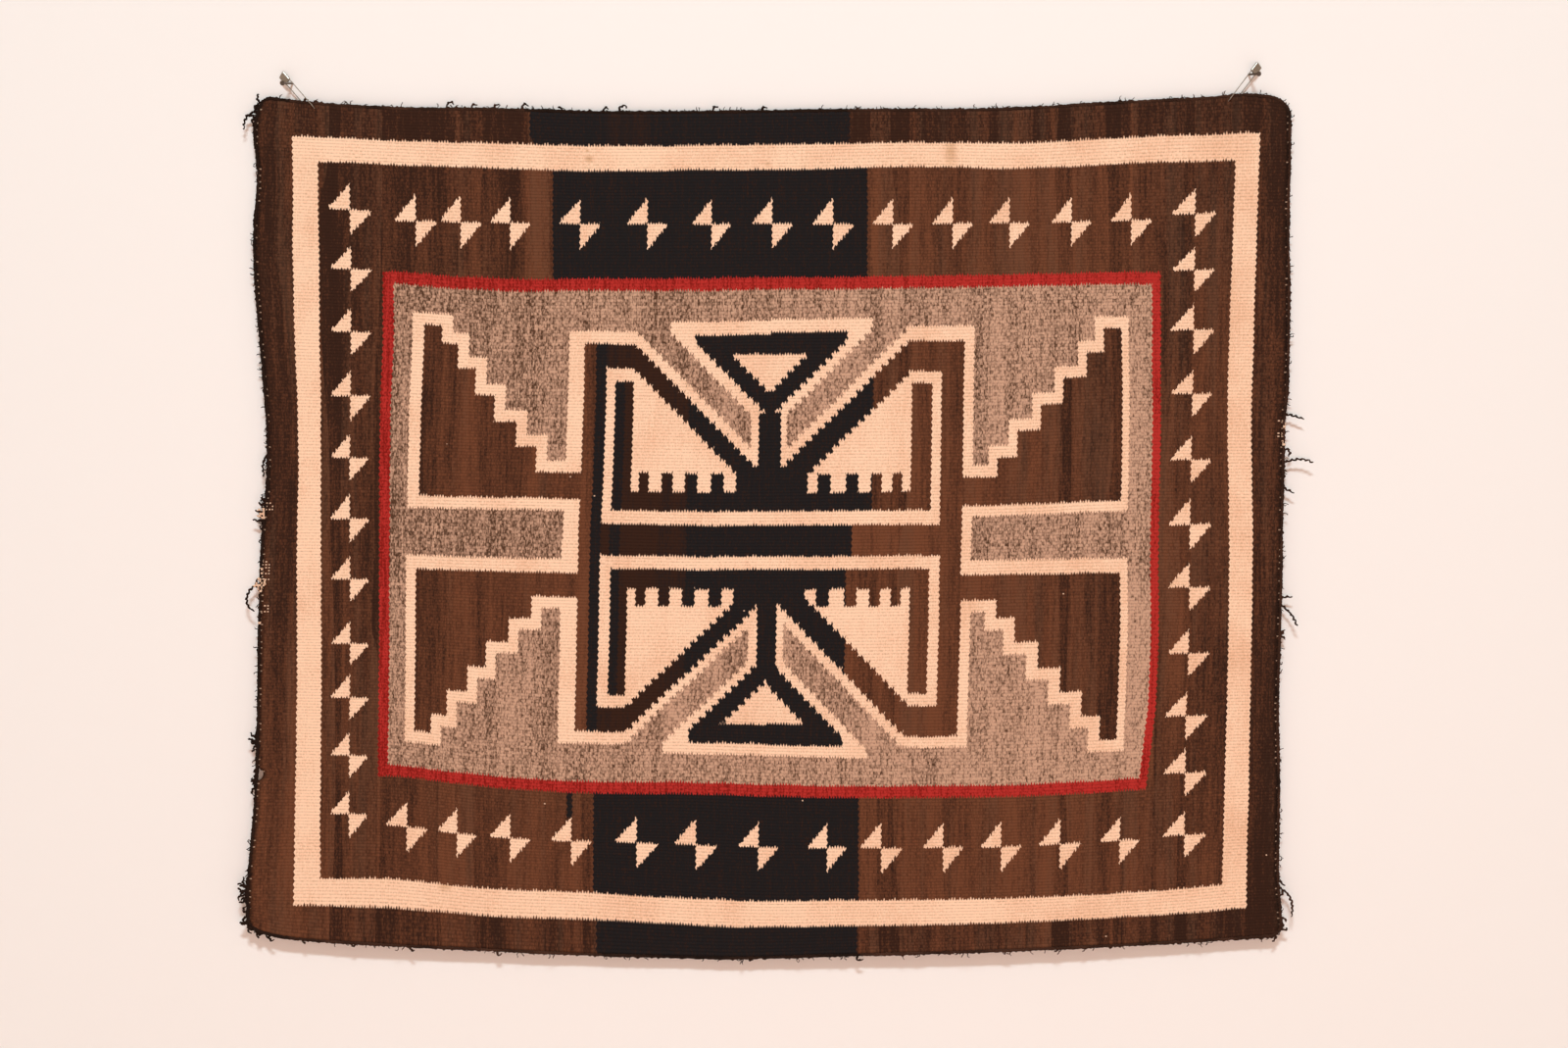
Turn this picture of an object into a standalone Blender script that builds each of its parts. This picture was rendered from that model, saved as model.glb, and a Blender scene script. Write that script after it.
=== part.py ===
"""A hand-woven wool rug of the Navajo kind, hung sideways by two safety pins from two nails.

The web hangs in the XZ plane with its face towards -Y. The origin is the middle of the rug's top edge.
Its warps run level, so its end cords are the left and right edges and its side cords the top and bottom.
Every length is in metres, but for the tables, whose columns are in millimetres and degrees.
"""

import math
from collections import namedtuple

import bmesh
import bpy
from mathutils import Matrix, Vector

MM = 0.001

# The cloth, measured over its edge cords
RUG_WIDTH = 1.155
RUG_HEIGHT = 0.943
WEB_THICKNESS = 0.003
CORD_RADIUS = 0.0025
GAP = 0.0003
CORD_BAND = 2 * CORD_RADIUS + GAP  # what a cord takes off the web on each edge
COLUMNS, ROWS = 36, 30
END_CROWDING = 0.6  # how much closer the web's rows and columns lie near its edges
CORNER_ROUNDING = {"top_left": 0.010, "top_right": 0.020, "bottom_left": 0.012, "bottom_right": 0.012}
CORD_END_CUT = 0.0018  # taken off a cord at each corner, so that neighbours stay apart
SLOPE_STEP = 0.002  # share of an edge over which its slope is read

# How the cloth hangs off the wall
BOTTOM_STAND_OFF = 0.004
BROAD_WAVE = 0.0022
SLANT_WAVE = 0.0012
CORNER_CURL = 0.006
CURL_WIDTH, CURL_DROP = 0.035, 0.06  # shares of the width and height that the curled corner takes

# How far each edge bulges out of the plain rectangle. along runs from the left or from the top
Bulge = namedtuple("Bulge", "along out")
BULGES = {
    "top": [
        Bulge(0, 15.4), Bulge(58, 8.8), Bulge(152, 3.3), Bulge(262, 2.2), Bulge(372, -1.1), Bulge(482, -1.1),
        Bulge(669, 1.1), Bulge(829, 2.2), Bulge(967, 9.9), Bulge(1067, 14.9), Bulge(1101, 18.2), Bulge(1155, 15.4),
    ],
    "bottom": [
        Bulge(0, -21.0), Bulge(42, -11.0), Bulge(152, -3.3), Bulge(262, 2.2), Bulge(372, 7.7), Bulge(482, 11.0),
        Bulge(548, 12.1), Bulge(658, 8.8), Bulge(812, 4.4), Bulge(922, 0.0), Bulge(1032, -5.5), Bulge(1155, -13.0),
    ],
    "left": [
        Bulge(0, -2.0), Bulge(36, 5.0), Bulge(83, 1.0), Bulge(175, 5.0), Bulge(362, -9.0), Bulge(430, -10.0),
        Bulge(494, -4.4), Bulge(582, -1.0), Bulge(736, 1.0), Bulge(813, 4.4), Bulge(890, 11.0), Bulge(943, 12.0),
    ],
    "right": [
        Bulge(0, 9.0), Bulge(43, 7.7), Bulge(153, 5.5), Bulge(208, 6.6), Bulge(326, 4.4), Bulge(360, 1.1),
        Bulge(494, -2.2), Bulge(565, -3.3), Bulge(692, -6.6), Bulge(780, -5.5), Bulge(883, -6.6), Bulge(943, -2.0),
    ],
}

# A bite worn out of the web beside the left end cord, which still bridges it
BITE_DOWN = 0.746
BITE_HALF_WIDTH, BITE_HALF_HEIGHT = 0.008, 0.007

# Yarn ends and loops that have worked loose. leaves is the angle from straight out, towards along
STRAND_RADIUS = 0.0007
STRAND_STEP = 0.006
STRAND_TURN_STEP = 36
STRAND_DRIFT = 0.12  # how far forward a strand goes for its length, so that a curl passes itself
Strand = namedtuple("Strand", "edge along length leaves turns")
STRANDS = [
    Strand("left", 14, 28, 20, 95), Strand("left", 22, 12, -30, 60), Strand("left", 404, 27, 54, 56),
    Strand("left", 546, 30, 10, 330), Strand("left", 554, 40, 5, 150), Strand("right", 356, 21, 0, 20),
    Strand("right", 397, 14, -50, 200), Strand("right", 411, 33, -28, 50), Strand("right", 439, 13, 20, 10),
    Strand("right", 563, 12, -5, 0), Strand("right", 571, 31, 35, 35), Strand("right", 883, 9, 40, 0),
    Strand("right", 891, 38, 25, 90), Strand("top", 209, 15, -60, 220), Strand("top", 236, 10, -50, 200),
    Strand("top", 261, 10, -50, 200), Strand("top", 293, 13, -60, 220), Strand("top", 384, 10, -50, 200),
    Strand("top", 508, 12, -60, 220), Strand("top", 563, 9, -50, 200), Strand("bottom", 24, 11, -50, 200),
    Strand("bottom", 181, 9, -50, 200), Strand("bottom", 278, 9, -50, 200), Strand("bottom", 682, 12, -60, 220),
]
Tuft = namedtuple("Tuft", "edge along strands length")
TUFTS = [
    Tuft("left", 460, 3, 9), Tuft("left", 476, 4, 12), Tuft("left", 731, 4, 11), Tuft("left", 778, 3, 8),
    Tuft("left", 902, 6, 17), Tuft("right", 605, 3, 7),
]
TUFT_PITCH = 2.2  # mm between the roots of a tuft
TUFT_FAN = 28  # degrees between one strand of a tuft and the next

# The safety pins, along their own axis from the top of the cap
PIN_WIRE_RADIUS = 0.00055
PIN_SPREAD = 0.0033  # from the pin's axis to each arm, seen from the front
PIN_DEPTH = 0.0039  # from the pin's axis to each arm, front to back
PIN_CAP_LENGTH, PIN_CAP_WIDTH, PIN_CAP_THICKNESS = 0.012, 0.0125, 0.0028
PIN_CAP_ROUNDING = 0.0011
PIN_DIVE_START, PIN_DIVE_END = 0.051, 0.058  # where the front arm goes through the web
PIN_COIL_AT, PIN_COIL_RADIUS, PIN_COIL_PITCH = 0.061, 0.003, 0.0015
PIN_COIL_TURNS, PIN_COIL_STEPS = 1.5, 15
PIN_COIL_END_DEPTH = 0.0041
PIN_HOLE_CLEARANCE = 0.0005
ARM_STEPS = 5
Pin = namedtuple("Pin", "side cap_x cap_z slant")
PINS = [Pin("left", -550, 38.8, 49), Pin("right", 547.8, 49.5, 127)]

# The nails, which the caps hang on
NAIL_RADIUS = 0.0012
NAIL_HEAD_RADIUS, NAIL_HEAD_THICKNESS = 0.0027, 0.001
NAIL_BACK, NAIL_FRONT = 0.008, 0.016  # how far it reaches behind and in front of the pin
NAIL_LEAN = 0.3

TAPER = 16  # sides of a round piece


def clear_scene():
    for thing in list(bpy.data.objects):
        bpy.data.objects.remove(thing, do_unlink=True)


def new_collection(name):
    collection = bpy.data.collections.new(name)
    bpy.context.scene.collection.children.link(collection)
    return collection


def material(name, colour, roughness, metallic=0.0):
    made = bpy.data.materials.new(name)
    made.use_nodes = True
    shader = made.node_tree.nodes["Principled BSDF"]
    shader.inputs["Base Color"].default_value = (*colour, 1.0)
    shader.inputs["Roughness"].default_value = roughness
    shader.inputs["Metallic"].default_value = metallic
    made.diffuse_color = (*colour, 1.0)
    return made


def smooth_step(x):
    x = min(max(x, 0.0), 1.0)
    return x * x * (3 - 2 * x)


def bulge(edge, share):
    """How far the edge stands out of the rectangle, on a smooth curve through its table's rows."""
    rows = BULGES[edge]
    along = share * rows[-1].along
    i = max(k for k, row in enumerate(rows[:-1]) if row.along <= along or k == 0)
    a, b = rows[i], rows[i + 1]

    def slope(k):
        before, after = rows[max(k - 1, 0)], rows[min(k + 1, len(rows) - 1)]
        return (after.out - before.out) / (after.along - before.along)

    span = b.along - a.along
    t = (along - a.along) / span
    value = (
        (2 * t**3 - 3 * t**2 + 1) * a.out
        + (t**3 - 2 * t**2 + t) * span * slope(i)
        + (3 * t**2 - 2 * t**3) * b.out
        + (t**3 - t**2) * span * slope(i + 1)
    )
    return value * MM


def depth(across, down):
    """The web's Y at shares of its width and height: it hangs off its pins and waves a little."""
    forward = BOTTOM_STAND_OFF * down**2
    forward += BROAD_WAVE * math.sin(2 * math.pi * (1.6 * across + 0.1)) * down * (1.2 - 0.5 * down)
    fade = math.sin(math.pi * min(down * 1.3, 1.0))
    forward += SLANT_WAVE * math.sin(2 * math.pi * (2.7 * across + 1.1 * down)) * fade
    curl = smooth_step((across - 1 + CURL_WIDTH) / CURL_WIDTH) * smooth_step(1 - down / CURL_DROP)
    return CORNER_CURL * curl - forward


def round_corner(x, z, reach_x, reach_z, radius):
    """Moves a point near a square corner, at (reach_x, reach_z) in, onto a rounded one."""
    p, q = 1 - reach_x / radius, 1 - reach_z / radius
    if p <= 0 or q <= 0:
        return x, z
    return x + radius * p * (1 - math.sqrt(1 - q * q / 2)), z + radius * q * (1 - math.sqrt(1 - p * p / 2))


def place(across, down):
    """The point of the web's middle surface at shares of its width and height."""
    width, height = RUG_WIDTH - 2 * CORD_BAND, RUG_HEIGHT - 2 * CORD_BAND
    x, z = across * width, down * height
    for name, radius in CORNER_ROUNDING.items():
        right, bottom = name.endswith("right"), name.startswith("bottom")
        from_side, from_end = (width - x if right else x), (height - z if bottom else z)
        near_x, near_z = round_corner(from_side, from_end, from_side, from_end, radius)
        x, z = (width - near_x if right else near_x), (height - near_z if bottom else near_z)
    x += across * bulge("right", down) - (1 - across) * bulge("left", down)
    z += down * bulge("bottom", across) - (1 - down) * bulge("top", across)
    return Vector((x - width / 2, depth(across, down), -CORD_BAND - z))


def crowded(share):
    return share - END_CROWDING * math.sin(2 * math.pi * share) / (2 * math.pi)


def edge_shares(edge, share):
    """The across and down shares of a point on one edge, whose own share runs from the left or the top."""
    return {"top": (share, 0.0), "bottom": (share, 1.0), "left": (0.0, share), "right": (1.0, share)}[edge]


def cord_place(edge, share):
    """A point on a cord's middle line, the way straight out of the web there, and the way along."""
    before = place(*edge_shares(edge, max(share - SLOPE_STEP, 0.0)))
    after = place(*edge_shares(edge, min(share + SLOPE_STEP, 1.0)))
    along = (after - before).normalized()
    out = along.cross(Vector((0, 1, 0))).normalized()
    if edge in ("bottom", "left"):
        out = -out
    return place(*edge_shares(edge, share)) + out * (CORD_RADIUS + GAP), out, along


def curve_object(name, lines, radius, bevel_resolution, collection):
    """Tubes along lines of points, as one welded mesh object."""
    curve = bpy.data.curves.new(name, "CURVE")
    curve.dimensions = "3D"
    curve.bevel_depth = radius
    curve.bevel_resolution = bevel_resolution
    curve.use_fill_caps = True
    for line in lines:
        spline = curve.splines.new("POLY")
        spline.points.add(len(line) - 1)
        for point, spot in zip(spline.points, line):
            point.co = (*spot, 1.0)
    drawn = bpy.data.objects.new(name + "_curve", curve)
    bpy.context.scene.collection.objects.link(drawn)
    evaluated = drawn.evaluated_get(bpy.context.evaluated_depsgraph_get())
    mesh = bpy.data.meshes.new_from_object(evaluated)
    mesh.name = name
    made = bpy.data.objects.new(name, mesh)
    made.matrix_world = drawn.matrix_world
    bpy.data.objects.remove(drawn, do_unlink=True)
    work = bmesh.new()
    work.from_mesh(mesh)
    bmesh.ops.remove_doubles(work, verts=work.verts, dist=0.00001)
    bmesh.ops.recalc_face_normals(work, faces=work.faces)
    work.to_mesh(mesh)
    work.free()
    collection.objects.link(made)
    return made


def as_cutter(thing):
    thing.hide_render = True
    thing.display_type = "WIRE"
    return thing


def combine(thing, other, operation, crossing=False):
    boolean = thing.modifiers.new(operation.lower(), "BOOLEAN")
    boolean.operation = operation
    boolean.solver = "EXACT"
    boolean.object = other
    boolean.use_self = crossing


def finish_look(thing, look):
    thing.data.materials.clear()
    thing.data.materials.append(look)
    thing.data.shade_smooth()
    thing.data.set_sharp_from_angle(angle=math.radians(40))


def make_web(collection, look):
    """The tapestry-woven cloth, one thin sheet that follows the waves and the crooked edges."""
    mesh = bpy.data.meshes.new("rug_web")
    work = bmesh.new()
    bmesh.ops.create_grid(work, x_segments=COLUMNS, y_segments=ROWS, size=0.5)
    for vertex in work.verts:
        vertex.co = place(crowded(vertex.co.x + 0.5), crowded(0.5 - vertex.co.y))
    bmesh.ops.recalc_face_normals(work, faces=work.faces)
    work.to_mesh(mesh)
    work.free()
    web = bpy.data.objects.new("rug_web", mesh)
    collection.objects.link(web)
    finish_look(web, look)
    thicken = web.modifiers.new("thickness", "SOLIDIFY")
    thicken.thickness = WEB_THICKNESS
    thicken.offset = 0.0
    return web


def bite_cutter(cutters):
    """An upright oval that takes the worn bite out of the web's left edge."""
    mesh = bpy.data.meshes.new("bite_cutter")
    work = bmesh.new()
    bmesh.ops.create_cone(
        work, cap_ends=True, segments=TAPER, radius1=1.0, radius2=1.0, depth=1.0,
        matrix=Matrix.Rotation(math.pi / 2, 4, "X"),
    )
    for vertex in work.verts:
        vertex.co = Vector((vertex.co.x * BITE_HALF_WIDTH, vertex.co.y * 0.04, vertex.co.z * BITE_HALF_HEIGHT))
    work.to_mesh(mesh)
    work.free()
    cutter = bpy.data.objects.new("bite_cutter", mesh)
    cutter.location = place(0.0, BITE_DOWN / RUG_HEIGHT)
    cutters.objects.link(cutter)
    return as_cutter(cutter)


def strand_line(strand):
    """The bent line of one loose yarn, from the middle of its cord outwards."""
    share = strand.along / BULGES[strand.edge][-1].along
    root, out, along = cord_place(strand.edge, share)
    steps = max(4, math.ceil(strand.length * MM / STRAND_STEP), math.ceil(abs(strand.turns) / STRAND_TURN_STEP))
    step = strand.length * MM / steps
    line = [root]
    for i in range(steps):
        angle = math.radians(strand.leaves + strand.turns * (i + 0.5) / steps)
        onwards = out * math.cos(angle) + along * math.sin(angle) + Vector((0, -STRAND_DRIFT, 0))
        line.append(line[-1] + onwards * step)
    return line


def tuft_strands(tuft):
    """The fan of short yarn ends of one tuft, every other one bent the other way."""
    middle = (tuft.strands - 1) / 2
    for i in range(tuft.strands):
        spot = tuft.along + (i - middle) * TUFT_PITCH
        length = tuft.length * (0.7 + 0.3 * math.cos(2.4 * i + tuft.along))
        yield Strand(tuft.edge, spot, length, (i - middle) * TUFT_FAN, 45 * (-1) ** i)


def make_cord(edge, name, collection, cutters, look):
    """An edge cord, beside the web on one edge, with the loose yarns that stand out of it."""
    count = COLUMNS if edge in ("top", "bottom") else ROWS
    line = [cord_place(edge, crowded(i / count))[0] for i in range(count + 1)]
    line[0] += (line[1] - line[0]).normalized() * CORD_END_CUT
    line[-1] += (line[-2] - line[-1]).normalized() * CORD_END_CUT
    cord = curve_object(name, [line], CORD_RADIUS, 2, collection)
    finish_look(cord, look)
    strands = [s for s in STRANDS if s.edge == edge]
    strands += [s for tuft in TUFTS if tuft.edge == edge for s in tuft_strands(tuft)]
    loose = curve_object(name + "_yarns", [strand_line(s) for s in strands], STRAND_RADIUS, 0, cutters)
    combine(cord, as_cutter(loose), "UNION", crossing=True)
    return cord


def pin_axes(pin):
    """The pin's own directions: along it, sideways to its front arm, and its cap's top."""
    slant = math.radians(pin.slant)
    onwards = Vector((math.cos(slant), 0, -math.sin(slant)))
    sideways = Vector((abs(onwards.z) * (1 if onwards.x > 0 else -1), 0, abs(onwards.x)))
    return onwards, sideways, Vector((pin.cap_x * MM, 0, pin.cap_z * MM))


def pin_line(pin):
    """The wire's route: down the rear arm, round the coil behind the web, and back through the web to the cap."""
    onwards, sideways, top = pin_axes(pin)

    def spot(along, side, back):
        return top + onwards * along + sideways * side + Vector((0, back, 0))

    inside_cap = PIN_CAP_LENGTH * 0.6
    coil_back = PIN_COIL_END_DEPTH + PIN_COIL_PITCH * PIN_COIL_TURNS
    line = []
    for i in range(ARM_STEPS + 1):
        t = i / ARM_STEPS
        side = -PIN_SPREAD + (PIN_SPREAD - PIN_COIL_RADIUS) * t
        line.append(spot(inside_cap + (PIN_COIL_AT - inside_cap) * t, side, PIN_DEPTH + (coil_back - PIN_DEPTH) * t))
    for i in range(1, PIN_COIL_STEPS + 1):
        t = i / PIN_COIL_STEPS
        angle = 2 * math.pi * PIN_COIL_TURNS * t
        along = PIN_COIL_AT + PIN_COIL_RADIUS * math.sin(angle)
        line.append(spot(along, -PIN_COIL_RADIUS * math.cos(angle), coil_back - PIN_COIL_PITCH * PIN_COIL_TURNS * t))
    line.append(spot(PIN_DIVE_END, PIN_COIL_RADIUS, PIN_COIL_END_DEPTH - 0.0006))
    line.append(spot(PIN_DIVE_START, PIN_SPREAD, -PIN_DEPTH))
    line.append(spot((PIN_DIVE_START + inside_cap) / 2, PIN_SPREAD, -PIN_DEPTH))
    line.append(spot(inside_cap, PIN_SPREAD, -PIN_DEPTH))
    return line


def make_cap(pin, cutters):
    """The folded head of a pin, turned so that both arms end in it."""
    onwards, sideways, top = pin_axes(pin)
    wide = (sideways * PIN_SPREAD - Vector((0, PIN_DEPTH, 0))).normalized()
    mesh = bpy.data.meshes.new("pin_cap")
    work = bmesh.new()
    bmesh.ops.create_cube(work, size=1.0)
    bmesh.ops.scale(work, vec=(PIN_CAP_LENGTH, PIN_CAP_WIDTH, PIN_CAP_THICKNESS), verts=work.verts)
    bmesh.ops.bevel(
        work, geom=list(work.edges), offset=PIN_CAP_ROUNDING, offset_type="OFFSET", segments=2, profile=0.5,
        affect="EDGES",
    )
    work.to_mesh(mesh)
    work.free()
    cap = bpy.data.objects.new("pin_cap_" + pin.side, mesh)
    turn = Matrix((onwards, wide, onwards.cross(wide))).transposed().to_4x4()
    cap.matrix_world = Matrix.Translation(top + onwards * PIN_CAP_LENGTH / 2) @ turn
    cutters.objects.link(cap)
    return as_cutter(cap)


def make_pin(pin, collection, cutters, look):
    """A safety pin: one bent wire with its cap. A fatter wire on the same route opens its way through the web."""
    line = pin_line(pin)
    made = curve_object("safety_pin_" + pin.side, [line], PIN_WIRE_RADIUS, 1, collection)
    finish_look(made, look)
    combine(made, make_cap(pin, cutters), "UNION")
    way = curve_object("pin_way_" + pin.side, [line], PIN_WIRE_RADIUS + PIN_HOLE_CLEARANCE, 1, cutters)
    return as_cutter(way)


def make_nail(pin, collection, look):
    """A round nail under the cap, square to the pin's axis, with its flat end where it goes into a wall."""
    onwards, sideways, top = pin_axes(pin)
    seat = top + onwards * (PIN_CAP_LENGTH + GAP + NAIL_RADIUS)
    forward = (Vector((0, -1, 0)) - sideways * NAIL_LEAN).normalized()
    back, front = NAIL_BACK / abs(forward.y), NAIL_FRONT / abs(forward.y)
    mesh = bpy.data.meshes.new("nail_" + pin.side)
    work = bmesh.new()
    rings = [
        (-back, NAIL_RADIUS), (front, NAIL_RADIUS), (front, NAIL_HEAD_RADIUS),
        (front + NAIL_HEAD_THICKNESS, NAIL_HEAD_RADIUS),
    ]
    profile = [work.verts.new((radius, 0, height)) for height, radius in rings]
    edges = [work.edges.new(pair) for pair in zip(profile, profile[1:])]
    bmesh.ops.spin(
        work, geom=profile + edges, cent=(0, 0, 0), axis=(0, 0, 1), angle=2 * math.pi, steps=TAPER,
        use_merge=True,
    )
    bmesh.ops.remove_doubles(work, verts=work.verts, dist=0.00001)
    bmesh.ops.holes_fill(work, edges=[e for e in work.edges if e.is_boundary], sides=TAPER)
    bmesh.ops.recalc_face_normals(work, faces=work.faces)
    work.to_mesh(mesh)
    work.free()
    nail = bpy.data.objects.new("nail_" + pin.side, mesh)
    nail.matrix_world = Matrix.Translation(seat) @ forward.to_track_quat("Z", "Y").to_matrix().to_4x4()
    collection.objects.link(nail)
    finish_look(nail, look)


def main():
    clear_scene()
    rug = new_collection("navajo_rug")
    cutters = new_collection("cutters")
    wool = material("brown_wool", (0.09, 0.035, 0.018), 0.95)
    cord_wool = material("black_wool", (0.02, 0.014, 0.012), 0.95)
    steel = material("pin_steel", (0.62, 0.60, 0.57), 0.3, 1.0)
    nail_steel = material("nail_steel", (0.36, 0.34, 0.32), 0.45, 1.0)

    web = make_web(rug, wool)
    combine(web, bite_cutter(cutters), "DIFFERENCE")
    for edge, name in (
        ("left", "end_cord_left"), ("right", "end_cord_right"), ("top", "side_cord_top"),
        ("bottom", "side_cord_bottom"),
    ):
        make_cord(edge, name, rug, cutters, cord_wool)
    for pin in PINS:
        combine(web, make_pin(pin, rug, cutters, steel), "DIFFERENCE")
        make_nail(pin, rug, nail_steel)


main()
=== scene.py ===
"""The looks of the hung Navajo rug: its patterned web, twisted edge cords, loose yarns, pins and nails.

The rug hangs in the XZ plane with its face towards -Y, and the origin is the middle of its top edge.
Its warps run level, so each rib of the web is a level line and each weft pass an upright one.
The weaver's chart and the drift tables are in millimetres: across from the middle, down from the top edge.
"""

import math
import random
from collections import namedtuple
from functools import partialmethod

import bpy
import numpy as np
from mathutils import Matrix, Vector


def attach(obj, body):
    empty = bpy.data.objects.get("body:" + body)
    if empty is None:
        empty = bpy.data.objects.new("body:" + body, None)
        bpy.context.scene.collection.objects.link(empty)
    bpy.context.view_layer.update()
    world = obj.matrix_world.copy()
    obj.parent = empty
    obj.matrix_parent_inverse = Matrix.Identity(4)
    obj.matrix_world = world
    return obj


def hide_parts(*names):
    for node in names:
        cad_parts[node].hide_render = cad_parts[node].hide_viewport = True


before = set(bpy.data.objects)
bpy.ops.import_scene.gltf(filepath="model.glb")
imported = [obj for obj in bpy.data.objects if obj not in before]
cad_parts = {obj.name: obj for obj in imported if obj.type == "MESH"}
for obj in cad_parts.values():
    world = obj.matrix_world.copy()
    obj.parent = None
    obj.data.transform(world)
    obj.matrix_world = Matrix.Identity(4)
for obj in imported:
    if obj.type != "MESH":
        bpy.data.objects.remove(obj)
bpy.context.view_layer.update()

MM = 0.001

# The cloth, as in the CAD source, in millimetres
RUG_WIDTH, RUG_HEIGHT = 1155.0, 943.0
CORD_RADIUS, GAP = 2.5, 0.3
CORD_BAND = 2 * CORD_RADIUS + GAP
WEB_WIDTH, WEB_HEIGHT = RUG_WIDTH - 2 * CORD_BAND, RUG_HEIGHT - 2 * CORD_BAND
WEB_THICKNESS = 3.0
EDGE_LENGTHS = {"top": RUG_WIDTH, "bottom": RUG_WIDTH, "left": RUG_HEIGHT, "right": RUG_HEIGHT}
CORNER_ROUNDING = {"top_left": 10, "top_right": 20, "bottom_left": 12, "bottom_right": 12}
BOTTOM_STAND_OFF = 4.0
BROAD_WAVE, BROAD_COUNT, BROAD_START = 2.2, 1.6, 0.1
SLANT_WAVE, SLANT_COUNT, SLANT_LEAN = 1.2, 2.7, 1.1
CORNER_CURL, CURL_WIDTH, CURL_DROP = 6.0, 0.035, 0.06
BITE_DOWN, BITE_DEPTH, BITE_HALF_HEIGHT = 746.0, 7.0, 7.0
BITE_FADE = 30  # the bite's pull is gone a thirtieth of the way across
SLOPE_STEP = 0.002

# How far each edge bulges out of the plain rectangle: how far along, from the left or from the top, and how
# far out
BULGES = {
    "top": [
        (0, 15.4), (58, 8.8), (152, 3.3), (262, 2.2), (372, -1.1), (482, -1.1), (669, 1.1), (829, 2.2),
        (967, 9.9), (1067, 14.9), (1101, 18.2), (1155, 15.4),
    ],
    "bottom": [
        (0, -21.0), (42, -11.0), (152, -3.3), (262, 2.2), (372, 7.7), (482, 11.0), (548, 12.1),
        (658, 8.8), (812, 4.4), (922, 0.0), (1032, -5.5), (1155, -13.0),
    ],
    "left": [
        (0, -2.0), (36, 5.0), (83, 1.0), (175, 5.0), (362, -9.0), (430, -10.0), (494, -4.4), (582, -1.0),
        (736, 1.0), (813, 4.4), (890, 11.0), (943, 12.0),
    ],
    "right": [
        (0, 9.0), (43, 7.7), (153, 5.5), (208, 6.6), (326, 4.4), (360, 1.1), (494, -2.2), (565, -3.3),
        (692, -6.6), (780, -5.5), (883, -6.6), (943, -2.0),
    ],
}

# How far level lines of the weave sag (+) or rise (-) at each station across
STATIONS = [-577, -522, -420, -316, -206, -96, -2, 82, 168, 278, 377, 454, 527, 577]
SAG = {
    54: [-12, -9.5, -5, -1.5, 1.5, 1, 0, -1.5, -3, -1.5, -6, -10, -11.5, -13],
    129: [-11, -8, -3.5, -1.5, 0.5, 0, 0, 0, 0, -1, -3.5, -5.5, -8, -9],
    196: [-13, -10, -6, 1, 1, 1, -0.5, -1, -2, -4, -6, -7, -8, -8],
    454: [-8, -8, -6.5, -4.5, -2.5, 0, 0, -1, -1.5, -3.5, -8, -9, -9, -9],
    514: [-9, -9, -7.5, -4, -2, 0, 0, 0, -1.5, -4.5, -6.5, -6.5, -6.5, -6.5],
    764: [-26, -25, -21.5, -10, -3, -2.5, 0.5, 2, 2, 0.5, -4.5, -9, -12, -14],
    903: [-26, -26.5, -24.5, -14.8, -10.3, -3.5, -0.5, -1.5, -2.5, -5, -9.5, -14, -20, -22],
}

# How far upright lines of the weave stray to the right (+) or left (-) at each level down
LEVELS = [43, 241, 362, 483, 604, 703, 890]
STRAY = {
    -520: [-4.4, -2.2, 0.8, 0.5, 1, 1, -0.5],
    -420: [3.5, 5, 1, 0, 0, -1, -2],
    -206: [6.5, 6, 3.5, -1.5, -4, -6, -6.5],
    -3: [2, 2, 2, 0, -1.5, -3, -3.5],
    201: [3.5, 3.5, 2, 0, -2, -5, -5.5],
    416: [0, 1, 2, -0.5, -0.5, -4.5, -9],
    471: [6.5, 4.5, 2, -0.5, -2, -5.5, -7.5],
    528: [7.5, 0, -3, -1, -2, -4, -9],
}

# The weave
RIB_PITCH = 3.52  # from one warp to the next
PICK_PITCH = 3.08  # each pair of weft passes
STEP_PITCH = 2 * RIB_PITCH  # a step of a slanting edge
RIDGE, GROOVE = 0.15, -0.25  # how far the ribs stand over and under the plain face
WEB_COLUMNS = 88
END_CROWDING = 0.6
RIM_TUCK = 1.8  # how far the rim runs out under the edge cords

# Loose yarns, as in the CAD source: along, length, leaves and turns. leaves is the angle from straight out
Strand = namedtuple("Strand", "edge along length leaves turns")
STRANDS = {
    "left": [
        (14, 28, 20, 95), (22, 12, -30, 60), (404, 27, 54, 56), (546, 30, 10, 330), (554, 40, 5, 150),
    ],
    "right": [
        (356, 21, 0, 20), (397, 14, -50, 200), (411, 33, -28, 50), (439, 13, 20, 10), (563, 12, -5, 0),
        (571, 31, 35, 35), (883, 9, 40, 0), (891, 38, 25, 90),
    ],
    "top": [
        (209, 15, -60, 220), (236, 10, -50, 200), (261, 10, -50, 200), (293, 13, -60, 220),
        (384, 10, -50, 200), (508, 12, -60, 220), (563, 9, -50, 200),
    ],
    "bottom": [
        (24, 11, -50, 200), (181, 9, -50, 200), (278, 9, -50, 200), (682, 12, -60, 220),
    ],
}
Tuft = namedtuple("Tuft", "edge along strands length")
TUFTS = [
    Tuft("left", 460, 3, 9), Tuft("left", 476, 4, 12), Tuft("left", 731, 4, 11), Tuft("left", 778, 3, 8),
    Tuft("left", 902, 6, 17), Tuft("right", 605, 3, 7),
]
STRAND_STEP, STRAND_TURN_STEP, STRAND_DRIFT = 6.0, 36, 0.12
STRAND_RADIUS = 1.3
TUFT_PITCH, TUFT_FAN, TUFT_CURL = 2.2, 28, 110
TUFT_FULLNESS = 2  # yarns for each one that the CAD source draws
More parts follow.
